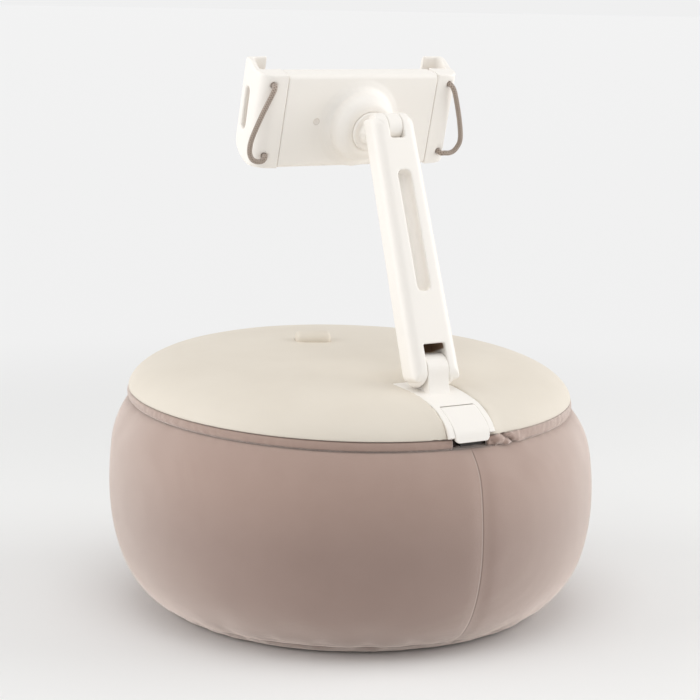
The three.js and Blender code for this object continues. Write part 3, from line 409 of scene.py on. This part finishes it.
def plumped(obj, sewn, pressure, slack, frames, cap):
    """Swells the object by cloth pressure, with its sewn points held and every move capped."""
    rest = [vert.co.copy() for vert in obj.data.vertices]
    obj.vertex_groups.new(name="sewn").add(sewn, 1.0, "REPLACE")
    cloth = obj.modifiers.new("cloth", "CLOTH")
    cloth.settings.vertex_group_mass = "sewn"
    cloth.settings.shrink_min = -slack
    cloth.settings.use_pressure = True
    cloth.settings.uniform_pressure_force = pressure
    cloth.settings.effector_weights.gravity = 0
    cloth.settings.quality = 4
    cloth.point_cache.frame_end = frames
    for step in range(1, frames + 1):
        scene.frame_set(step)
    swollen = obj.evaluated_get(bpy.context.evaluated_depsgraph_get()).to_mesh()
    moves = [vert.co - start for vert, start in zip(swollen.vertices, rest)]
    obj.modifiers.remove(cloth)
    scene.frame_set(1)
    for vert, start, move in zip(obj.data.vertices, rest, moves):
        vert.co = start + move * min(1.0, cap / max(move.length, 1e-9))


def relaxed(bm, verts, rounds):
    """Evens out the given points of a mesh."""
    axes = {"use_axis_x": True, "use_axis_y": True, "use_axis_z": True}
    for _ in range(rounds):
        bmesh.ops.smooth_vert(bm, verts=verts, factor=0.5, **axes)


def hump(distance, width):
    """1 at no distance, fading to 0 over about twice a width."""
    return exp(-((distance / width) ** 2))


knit = Finish("mauve_knit", Roughness=0.85, Sheen_Weight=1.0, Sheen_Roughness=0.5, Specular_IOR_Level=0.2)
knit.shader.inputs["Sheen Tint"].default_value = (1.75, 1.54, 1.42, 1)
knit_x, knit_y, knit_z = knit.axes(knit.place())
knit_run = (knit_x * knit_x + knit_y * knit_y).math("SQRT")
wale = (knit_y.math("ARCTAN2", knit_x) * knit_wales).math("SINE")
course = (knit_z * knit_courses).math("SINE")
upright_seam = knit_x.near(0.0, seam_line) * knit_y.rise(0.0, 0.01) * (1 - knit_z.rise(*seam_end))
seam = upright_seam.math("MAXIMUM", knit_z.near(seam_height, base_line))
# Painted shade: dark lines along the band's edges and in its fold valleys, and a painted shadow on the
# cushion just below the band
painted_crease_shade = knit.node("ShaderNodeAttribute", {"attribute_name": "painted_crease_shade"}, out="Fac")
band_shadow = (knit_z + knit_y * tan(lid_tilt) - lid_height).near(neck_level, neck_line)
band_shadow = band_shadow * knit_run.rise(0.1615, 0.163) * (1 - knit_run.rise(0.1662, 0.1676))
mottle = knit.grain(38.0, 3.0)
# Painted light: the knit's colour turns lighter higher up its side, standing for the top lamp's light on
# the shoulder
plain_knit_tone = knit.mix(mottle, paint(149, 126, 117), paint(157, 134, 125))
painted_shoulder_light = knit.mix(mottle, paint(167, 142, 131), paint(174, 149, 138))
knit_tone = knit.mix(knit_z.rise(*shoulder_light_heights), plain_knit_tone, painted_shoulder_light)
knit_tone = knit.mix(painted_crease_shade.math("MAXIMUM", band_shadow) * 0.9, knit_tone, paint(74, 52, 44))
knit.colour(knit.mix(seam * 0.6, knit_tone, paint(112, 95, 88)))
knit.relief(wale * course * 0.25 + knit.grain(900.0) * 0.5 - seam * 1.6, depth=0.0005, strength=0.5)

seed_inset = 0.002
cushion = piece("bead_cushion", revolve(cushion_outline(seed_inset), steps=96), knit)
cushion.data = remeshed(cushion, cushion_voxel)
cushion.data.shade_smooth()
top = cushion_height - held_edge
ends = [v.index for v in cushion.data.vertices if not held_edge < v.co.z < top]
plumped(cushion, ends, pressure=4.0, slack=0.012, frames=14, cap=0.0042)
bm = bmesh.new()
bm.from_mesh(cushion.data)
relaxed(bm, [v for v in bm.verts if taut_from < v.co.z < cushion_height - taut_margin], rounds=12)
bm.to_mesh(cushion.data)
bm.free()
for vert in cushion.data.vertices:
    x, y, z = vert.co
    out = Vector((x, y, 0)).normalized()
    z = min(max(z, 0.0), cushion_height)
    swell = bead_swell * noise.noise(Vector((x, y, z)) * bead_scale) if z > bead_floor else 0.0
    seam_dent = seam_depth * hump(x, seam_dent_width) * ease(0.0, 0.02, y) * ease(0.006, 0.02, z)
    base_dent = seam_depth * hump(z - seam_height, base_dent_width)
    shoulder = shoulder_swell * hump(z - shoulder_height, shoulder_width)
    shift = out * (swell + shoulder - seam_dent - base_dent) + settled * (1 - z / cushion_height) ** 0.5
    vert.co = (x + shift.x, y + shift.y, z - y * tan(lid_tilt) * (z / cushion_height) ** 2)
fine = cushion.modifiers.new("fine", "SUBSURF")
fine.levels = fine.render_levels = 1
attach(cushion, "cushion")
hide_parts("cushion_cover", "base_panel", "bead_filling")

# Padded lid
# Foam on a round board under a tight skin of cream synthetic leather. The clip plate is pressed into
# the padding, which gives way round the plate's back end and swells beside it.
lid_place = Matrix.Translation((0, 0, lid_height)) @ Matrix.Rotation(-lid_tilt, 4, "X")
lid_radius = 0.165
lid_crown = 0.028
lid_flatness = 5.5
lid_roundness = 0.6
lid_pucker = 0.0004
lid_rings = 44
wider_ahead = 0.013
wider_behind = 0.011
# The skin's lower edge: share of the radius, and height
lid_hem = ((0.983, 0.0), (0.98, 0.0009))
clip_half = 0.019
clip_back = 0.0906
clip_sink = 0.0033
clip_give = 0.026
plate_edge = (-0.0010, 0.0003)
latch_pin = 0.1460
pin_bed = 0.0108
pin_room = (0.0054, 0.0080)
swell_height = 0.0002
swell_place = 0.0045
swell_width = 0.0028
flap_swell = 0.0010
tab_back = 0.048
tab_place = Vector((0.0056, -tab_back, 0))
tab_half = 0.0136
tab_turn = radians(-24)
slit_width = 0.0011
slit_half = 0.0085
# Distance from the lid's middle, and depth of the bed under the plate
clip_bed = [
    (clip_back, 0.0067), (0.110, 0.0060), (0.126, 0.0053), (0.1386, 0.0043),
    (0.1477, 0.0033), (0.1568, 0.0027), (0.163, 0.0022), (0.165, 0.0006),
]


def lopsided(x, y):
    """How much further the lid reaches along the line on which the beads have settled."""
    way = (x * settled.x + y * settled.y) / (max(hypot(x, y), 1e-6) * settled.length)
    return 1 + (wider_ahead if way > 0 else wider_behind) * way**4


def lid_dome(radius):
    """Height of the skin above the lid's lower edge."""
    return lid_crown * (1 - min(radius / lid_radius, 1.0) ** lid_flatness) ** lid_roundness


def bed_depth(y):
    """Depth of the bed under the plate, along the clip."""
    for (near, shallow), (far, deep) in zip(clip_bed, clip_bed[1:]):
        if y <= far:
            return shallow + (deep - shallow) * max(y - near, 0) / (far - near)
    return clip_bed[-1][1]


def clip_press(x, y):
    """How far the clip pushes the padding in."""
    outside = abs(x) - clip_half
    beside = hypot(max(outside, 0), max(clip_back - y, 0))
    dip = clip_sink * (1 - ease(0, clip_give, beside)) * (1 - ease(clip_back, lid_radius * 0.88, y))
    under = (1 - ease(*plate_edge, outside)) * (1 - ease(*plate_edge, clip_back - y))
    bed = max(bed_depth(y), pin_bed * (1 - ease(*pin_room, abs(y - latch_pin))))
    swell = swell_height * hump(outside - swell_place, swell_width) * ease(clip_back, clip_back + 0.02, y)
    beside_flap = ease(0.138, 0.153, y) * (1 - ease(0.1625, 0.1648, y)) * (1 - ease(0.0, 0.011, outside))
    raised = swell * (1 - ease(0.150, 0.162, y)) + flap_swell * beside_flap
    return dip + under * max(bed - dip, 0) - (1 - under) * raised


leather = Finish("cream_leather", Roughness=0.6, Specular_IOR_Level=0.35)
leather_x, leather_y, leather_z = leather.axes(leather.place())
pore_sockets = {"Vector": leather.place(), "Scale": 620.0}
pores = leather.node("ShaderNodeTexVoronoi", {"feature": "DISTANCE_TO_EDGE"}, pore_sockets)
creases = leather.grain(240.0, 4.0)
# Painted shade in the slits at both ends of the pull tab
tab_x, tab_y = leather_x - tab_place.x, leather_y - tab_place.y
slit_end = (tab_x * cos(tab_turn) + tab_y * sin(tab_turn)).math("ABSOLUTE").near(tab_half, slit_width)
slit = slit_end * (tab_y * cos(tab_turn) - tab_x * sin(tab_turn)).near(0.0, slit_half)
slit = slit * leather_z.rise(0.185, 0.187) * (1 - leather_z.rise(0.1936, 0.1946))
cream_tone = leather.mix(leather.grain(26.0, 3.0), paint(224, 215, 201), paint(231, 223, 210))
leather.colour(leather.mix(slit * 0.4, cream_tone, paint(150, 136, 118)))
leather.rough(0.56 + creases * 0.1)
leather.relief(pores.rise(0.0, 0.09) * 0.5 + creases * 0.5 - slit, depth=0.0003, strength=0.28)

rings = [lid_radius * sin(i / lid_rings * pi / 2) for i in range(lid_rings + 1)]
bm = revolve([(r, lid_dome(r)) for r in rings], steps=168)
beside_clip = [e for e in bm.edges if all(abs(v.co.x) < 0.034 and v.co.y > 0.072 for v in e.verts)]
bmesh.ops.subdivide_edges(bm, edges=beside_clip, cuts=3, use_grid_fill=True)
nudge = 1e-5
for vert in bm.verts:
    x, y, z = vert.co
    r = hypot(x, y)
    if r > lid_radius * 0.9:
        z = lid_dome(r)
    slope = (lid_dome(r - nudge) - lid_dome(r)) / nudge if r > 0.001 else 0.0
    normal = Vector((slope * x / max(r, 1e-6), slope * y / max(r, 1e-6), 1)).normalized()
    give = lid_pucker * noise.noise(Vector((x, y, 7)) * 15) * (1 - ease(0.8, 0.97, r / lid_radius))
    wide = lopsided(x, y)
    vert.co = Vector((x * wide, y * wide, z)) + normal * (give - clip_press(x, y))
rim = [e for e in bm.edges if e.is_boundary]
for share, level in lid_hem:
    grown = bmesh.ops.extrude_edge_only(bm, edges=rim)["geom"]
    fresh = [item for item in grown if isinstance(item, bmesh.types.BMVert)]
    rim = [item for item in grown if isinstance(item, bmesh.types.BMEdge)]
    for vert in fresh:
        turn = atan2(vert.co.y, vert.co.x)
        reach = lid_radius * share * lopsided(vert.co.x, vert.co.y)
        vert.co = (reach * cos(turn), reach * sin(turn), level)
bmesh.ops.holes_fill(bm, edges=rim, sides=0)
bmesh.ops.recalc_face_normals(bm, faces=bm.faces)
bmesh.ops.transform(bm, matrix=lid_place, verts=bm.verts)
lid = piece("lid_pad", bm, leather)
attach(lid, "cushion")
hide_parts("lid_cover", "lid_foam")

# Lid band
# A strip of the same knit as the cushion, rolled round the lid's edge. It stops at both sides of the
# clip's tongue. On one side of it the strip is gathered, and slanting folds cross it.
band_gap = 0.0147 / lid_radius
band_middle = -0.0037
band_steps = 900
band_crease = 0.0003
gather_crease = 0.0008
gather_wave = 0.0009
fold_height = 0.0012
slack_height = 0.0007
slack_widening = 0.34
fold_place = 0.150
fold_slant = 14
# Radius and height of the strip's section, in millimetres
band_line = [
    (162.4, -7.5), (164.3, -7.4), (165.3, -6.1), (165.7, -4.0), (165.4, -2.0), (164.5, -0.5), (162.4, -0.4),
]

bm = bmesh.new()
section = [(0.001 * r, 0.001 * z) for r, z in band_line]
loop = [bm.verts.new((r * sin(-band_gap), r * cos(band_gap), z)) for r, z in section]
edges = [bm.edges.new(pair) for pair in zip(loop, loop[1:] + loop[:1])]
bmesh.ops.subdivide_edges(bm, edges=edges, cuts=1)
outline = list(bm.verts) + list(bm.edges)
band_angle = 2 * (pi - band_gap)
bmesh.ops.spin(bm, geom=outline, axis=(0, 0, 1), cent=(0, 0, 0), angle=band_angle, steps=band_steps)
bmesh.ops.holes_fill(bm, edges=[e for e in bm.edges if e.is_boundary], sides=0)
bmesh.ops.recalc_face_normals(bm, faces=bm.faces)
crease_shade_layer = bm.verts.layers.float.new("painted_crease_shade")
for vert in bm.verts:
    x, y, z = vert.co
    height = z - band_middle
    side = atan2(-x, y)
    outer = ease(0.1632, 0.1650, hypot(x, y))
    start = ease(0.085, 0.115, side)
    gather = start * (1 - ease(0.20, 0.34, side))
    slack = start * (1 - ease(0.75, 1.0, side))
    crease = noise.noise(Vector((side * 34, z * 190, 1.0)))
    crease += 0.5 * noise.noise(Vector((side * 80, z * 300, 5.0)))
    across = side - fold_place + fold_slant * height
    valley = hump(across - 0.046, 0.009) + 0.6 * hump(across + 0.048, 0.008)
    fold = 1.6 * hump(across, 0.030) - 1.9 * valley + hump(across - 0.085, 0.03)
    push = band_crease * crease + gather * gather_crease * crease
    push += (fold_height * fold + slack_height) * slack
    # Painted shade along the band's upper and lower edges and in the fold valleys
    edge = ease(-0.0012, -0.0005, z) + ease(-0.0059, -0.0071, z)
    vert[crease_shade_layer] = min(1.0, edge + 0.7 * valley * slack)
    wide = lopsided(x, y)
    out = Vector((x, y, 0)).normalized() * push * outer
    wave = gather_wave * gather * noise.noise(Vector((side * 30, 2.0, z * 90)))
    level = band_middle + height * (1 + slack_widening * slack * outer) + wave
    vert.co = (x * wide + out.x, y * wide + out.y, level)
bmesh.ops.transform(bm, matrix=lid_place, verts=bm.verts)
band = piece("edge_band", bm, knit)
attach(band, "cushion")
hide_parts("lid_band")

# Pull tab
# A short padded strap of the lid's leather, sewn on askew. Its two ends are tucked into slits in the
# lid's skin and stitched from below.
tab_depth = 0.0088
tab_height = 0.0080
tab_sink = 0.2

bm = bmesh.new()
bmesh.ops.create_cube(bm, size=2)
bmesh.ops.subdivide_edges(bm, edges=bm.edges, cuts=15, use_grid_fill=True)
for vert in bm.verts:
    u, v, w = (abs(c) for c in vert.co)
    corner = ((v**2 + w**2) ** 2 + u**4) ** 0.25
    u, v, w = vert.co * (max(u, v, w) / corner)
    vert.co = (u * tab_half, v * tab_depth, tab_height * (w + tab_sink) / (1 + tab_sink))
tab_seat = lid_place @ Matrix.Translation(tab_place + Vector((0, 0, lid_dome(tab_back))))
bmesh.ops.rotate(bm, verts=bm.verts, cent=(0, 0, 0), matrix=Matrix.Rotation(tab_turn, 3, "Z"))
bmesh.ops.transform(bm, matrix=tab_seat, verts=bm.verts)
tab = piece("strap_tab", bm, leather)
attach(tab, "cushion")
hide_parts("pull_tab")

# Clip on the lid's edge
# A white moulded plate screwed to the board from below, with the knuckle of the lower hinge. The flap in
# it swings on a steel pin, and its dark hook holds the lid's board.
plate_voxel = 0.0005
small_voxel = 0.0004
board_edge = (0.1555, 0.157)
rail_out = 0.34
rail_down = 0.94
right_rail = 0.0030
left_rail = 0.0012
flap_fill = 1.016
lid_frame = lid_place.inverted()


def white_plastic(name, mark=None, shade=None, dent=0.0):
    """A satin white, with a colour and a dent where it is marked; the colour is a mould mark on the holder
    and painted shade in the arm's foot.
    """
    white = Finish(name, Roughness=0.4, Specular_IOR_Level=0.45)
    tone = white.mix(white.grain(9.0, 2.0), paint(247, 242, 235), paint(250, 246, 240))
    height = white.grain(1500.0, 2.0) * 0.12
    if mark:
        share = mark(white)
        tone = white.mix(share, tone, shade)
        height = height - share * dent
    white.colour(tone)
    white.rough(0.36 + white.grain(60.0, 3.0) * 0.1)
    white.relief(height, depth=0.0002)
    return white


white = white_plastic("white_plastic")
steel = Finish("plain_steel", Metallic=1.0, Roughness=0.35)
steel.colour(steel.mix(steel.grain(300.0), paint(176, 179, 183), paint(200, 202, 205)))
steel.rough(0.28 + steel.grain(500.0, 3.0) * 0.16)
black_steel = Finish("black_steel", Metallic=0.3, Roughness=0.5)
black_steel.colour(black_steel.mix(black_steel.grain(200.0), paint(34, 30, 28), paint(52, 46, 42)))
# The board's face is bare and its edge is dark
fibreboard = Finish("fibreboard", Roughness=0.85)
board_spot = fibreboard.vector("MULTIPLY", fibreboard.place(), (1, 1, 0))
board_rim = fibreboard.vector("LENGTH", board_spot, out="Value").rise(*board_edge)
board_tone = fibreboard.mix(fibreboard.grain(400.0, 4.0), paint(176, 150, 112), paint(205, 182, 146))
fibreboard.colour(fibreboard.mix(board_rim, board_tone, paint(62, 50, 45)))


def moulded(node, body, voxel, rounds=1, finish=white, softer=(), shape=None):
    """A moulding with soft edges over a plain solid, and softer ones beyond each limit along X."""
    bm = bmesh.new()
    bm.from_mesh(frame["nodes"][node].data)
    bmesh.ops.remove_doubles(bm, verts=bm.verts, dist=2e-6)
    shell = piece(f"{node}_moulding", bm, finish)
    bm = bmesh.new()
    bm.from_mesh(remeshed(shell, voxel))
    relaxed(bm, bm.verts, rounds)
    for vert in bm.verts if shape else ():
        vert.co = shape(vert.co)
    for limit in softer:
        relaxed(bm, [v for v in bm.verts if abs(v.co.x) > limit], rounds=1)
    bm.to_mesh(shell.data)
    bm.free()
    shell.data.shade_smooth()
    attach(shell, body)
    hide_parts(node)


def dressed(finish, *nodes):
    """Gives solids that need no other mesh their finish."""
    for node in nodes:
        for slot in frame["nodes"][node].material_slots:
            slot.material = finish.material


def longer_rails(co):
    """The rails' ends reach down to the band, and one of them further than the other."""
    x, y, z = lid_frame @ co
    rail = ease(0.0143, 0.0147, abs(x)) * ease(0.155, 0.160, y) * (1 - ease(0.0035, 0.0095, z))
    reach = (right_rail if x > 0 else left_rail) * rail
    return lid_place @ Vector((x, y + rail_out * reach, z - rail_down * reach))


def snug_flap(co):
    """The flap nearly fills the opening between the rails."""
    x, y, z = lid_frame @ co
    return lid_place @ Vector((x * flap_fill, y, z))


moulded("mount_plate", "cushion", plate_voxel, shape=longer_rails)
moulded("release_latch", "latch", small_voxel, shape=snug_flap)
dressed(black_steel, "latch_hook")
dressed(fibreboard, "lid_board")
dressed(steel, "latch_pin", "latch_spring", "mount_screw_1", "mount_screw_2", "mount_screw_3")

# Arm
# One white moulding with a fork at each end and a long recess in its outer face. Friction hinges with
# bolts, captive nuts and nylon washers hold it, and flat caps cover the bolt heads.
arm_voxel = 0.0007
arm_lean = radians(20.3)
arm_along = Vector((0, -sin(arm_lean), cos(arm_lean)))
arm_out = Vector((0, cos(arm_lean), sin(arm_lean)))
foot_half = 0.0102
lower_hinge = Vector(joints["base_tilt"]["pos_m"])
upper_hinge = Vector(joints["head_tilt"]["pos_m"])
# Hinge, way to the fork's end, half of its width, reach past the hinge and corner radius
forks = [(upper_hinge, 1, 0.0174, 0.0101, 0.0080), (lower_hinge, -1, 0.0197, 0.01225, 0.0090)]


def foot_hollow_shade(finish):
    """Inside of the hollow foot, above the knuckle, where the white is darkened by painted shade."""
    here = finish.vector("SUBTRACT", finish.place(), lower_hinge)
    along = finish.vector("DOT_PRODUCT", here, arm_along, out="Value")
    out = finish.vector("DOT_PRODUCT", here, arm_out, out="Value")
    between = finish.axes(here)[0].near(0.0, foot_half).rise(0.0, 0.05)
    above = along.rise(0.0120, 0.0140) * (1 - along.rise(0.047, 0.048))
    inside = out.rise(-0.0098, -0.0092) * (1 - out.rise(0.0076, 0.0092))
    return between * above * inside


def soft_forks(co):
    """The outer corners of both forks are rounded off."""
    for hinge, way, half, reach, radius in forks:
        x, y, z = co - hinge
        out, past = abs(x) - half + radius, way * z - reach + radius
        if min(out, past) > 0:
            share = max(out, past) / hypot(out, past)
            z = way * (reach - radius + past * share)
            co = hinge + Vector((copysign(half - radius + out * share, x), y, z))
    return co


# Painted shade darkens the white inside the hollow foot
arm_white = white_plastic("arm_white", foot_hollow_shade, shade=paint(128, 100, 76))
nylon = Finish("nylon", Roughness=0.5)
nylon.colour(nylon.mix(nylon.grain(200.0), paint(226, 224, 218), paint(236, 234, 229)))

moulded("arm", "arm", arm_voxel, rounds=2, finish=arm_white, shape=soft_forks)
for hinge in ("lower_hinge", "upper_hinge"):
    moulded(f"{hinge}_cap", "arm", small_voxel, shape=soft_forks)
    dressed(steel, f"{hinge}_bolt", f"{hinge}_nut")
    dressed(nylon, f"{hinge}_washer_left", f"{hinge}_washer_right")

# Swivel head
# A white knuckle and neck in the arm's upper fork, with a disc that turns in the holder's dome. A screw
# and a steel washer hold the disc from inside.
disc_fill = 0.016
holder_frame = holder_place.inverted()


def snug_disc(co):
    """The disc nearly fills the dome's opening."""
    x, y, z = holder_frame @ co
    wide = 1 + disc_fill * ease(0.0130, 0.0140, hypot(x, z)) * (1 - ease(0.0186, 0.0192, y))
    return holder_place @ Vector((x * wide, y, z * wide))


moulded("swivel_head", "head", plate_voxel, shape=snug_disc)
dressed(steel, "swivel_screw", "swivel_washer")

# Tablet holder
# A white tray with a dome on its back and a screwed front plate. Racks on the two jaws run inside it on
# a nylon pinion, and soft pads line the front and the jaws' lips.
tray_voxel = 0.0007
gate_place = holder_place @ Vector((0.036, 0, holder_rise))
gate_radius = 0.0023
gate_line = 0.0006
lip_rise = 0.0036
jaw_softening = [0.0648 + 0.0002 * i for i in range(40)]


def gate_mark(finish):
    """Small round mark left by the mould's gate."""
    here = finish.vector("DISTANCE", finish.place(), gate_place, out="Value")
    return here.near(gate_radius, gate_line).math("MAXIMUM", (1 - here.rise(0.0015, 0.0024)) * 0.4)


def taller_lip(co):
    """The lip and the wall beside it stand a little higher than the tray."""
    x, y, z = holder_frame @ co
    lip = ease(0.024, 0.036, z - holder_rise) * (1 - ease(-0.026, -0.014, y)) * ease(0.064, 0.068, abs(x))
    return holder_place @ Vector((x, y, z + lip_rise * lip))


holder_white = white_plastic("holder_white", gate_mark, shade=paint(224, 215, 206), dent=0.8)
soft_pad = Finish("soft_pad", Roughness=0.8, Specular_IOR_Level=0.3)
soft_pad.colour(soft_pad.mix(soft_pad.grain(120.0), paint(226, 210, 197), paint(233, 219, 207)))
soft_pad.relief(soft_pad.grain(900.0), depth=0.0003, strength=0.3)

moulded("holder_back", "holder", tray_voxel, finish=holder_white)
moulded("holder_front", "holder", tray_voxel)
for side in ("left", "right"):
    moulded(f"jaw_{side}", f"{side}_jaw", plate_voxel, softer=jaw_softening, shape=taller_lip)
    moulded(f"jaw_pad_{side}", f"{side}_jaw", small_voxel, finish=soft_pad)
    moulded(f"front_pad_{side}", "holder", small_voxel, finish=soft_pad)
    dressed(steel, f"jaw_spring_{side}")
dressed(nylon, "sync_pinion")
dressed(steel, "holder_screw_1", "holder_screw_2", "holder_screw_3", "holder_screw_4")
